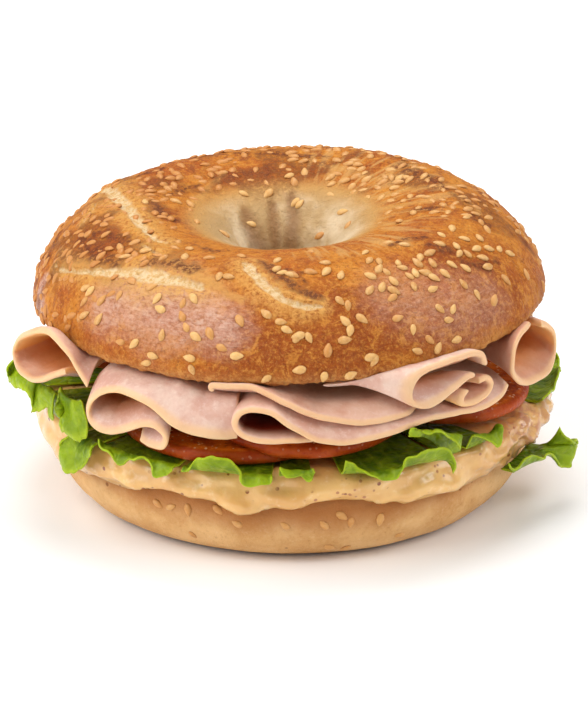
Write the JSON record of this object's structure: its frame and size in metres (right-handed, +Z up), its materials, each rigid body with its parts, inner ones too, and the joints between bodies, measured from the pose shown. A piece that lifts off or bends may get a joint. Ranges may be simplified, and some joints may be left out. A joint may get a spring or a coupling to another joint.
{
  "type": "filled bagel sandwich",
  "caption": "Sesame bagel cut through and filled with folded ham, tomato slices, frilly lettuce and a spiced spread, standing on its flat underside.",
  "frame": {"origin": "centre of the underside, under the middle of the lower bread half, on the surface it rests on", "axes": "+Z up, +X to the right seen from the front, -Y towards the front, where the folded ham shows best"},
  "size_m": [0.1287, 0.1224, 0.0667],
  "materials": {
    "crust": "golden brown baked crust with pale cracks, darker blisters and sesame seeds, slightly glossy",
    "pale_crust": "pale tan baked crust, matt, with a browner band under the cut and a brown foot",
    "spread": "peach tan creamy spread with fine red and brown specks, glossy",
    "tomato": "red tomato flesh and skin, wet and glossy",
    "lettuce": "yellow green frilled leaf, darker towards its root, satin with fine veins",
    "ham": "pale pink sliced ham with a tan smoked rim, satin and slightly moist"
  },
  "bodies": {
    "root": {"bagel_heel": "pale_crust", "spread": "spread", "lettuce_leaf_1": "lettuce", "lettuce_leaf_2": "lettuce", "lettuce_leaf_3": "lettuce", "lettuce_leaf_4": "lettuce", "lettuce_leaf_5": "lettuce", "lettuce_leaf_6": "lettuce", "lettuce_leaf_7": "lettuce", "lettuce_leaf_8": "lettuce", "lettuce_leaf_9": "lettuce", "lettuce_leaf_10": "lettuce", "lettuce_leaf_11": "lettuce", "lettuce_leaf_12": "lettuce", "lettuce_leaf_13": "lettuce", "tomato_slice_1": "tomato", "tomato_slice_2": "tomato", "tomato_slice_3": "tomato", "tomato_slice_4": "tomato", "tomato_slice_5": "tomato", "ham_left_roll": "ham", "ham_left_front": "ham", "ham_front_roll": "ham", "ham_upper_front": "ham", "ham_right_roll": "ham", "ham_right_curl": "ham", "ham_far_right_roll": "ham", "ham_right_side": "ham", "ham_left_side": "ham", "ham_back_far_right_roll": "ham", "ham_back_front_roll": "ham", "ham_back_left_front": "ham", "ham_back_right_roll": "ham", "ham_back_left_roll": "ham", "ham_middle": "ham", "bagel_crown": "crust"}
  },
  "joints": []
}
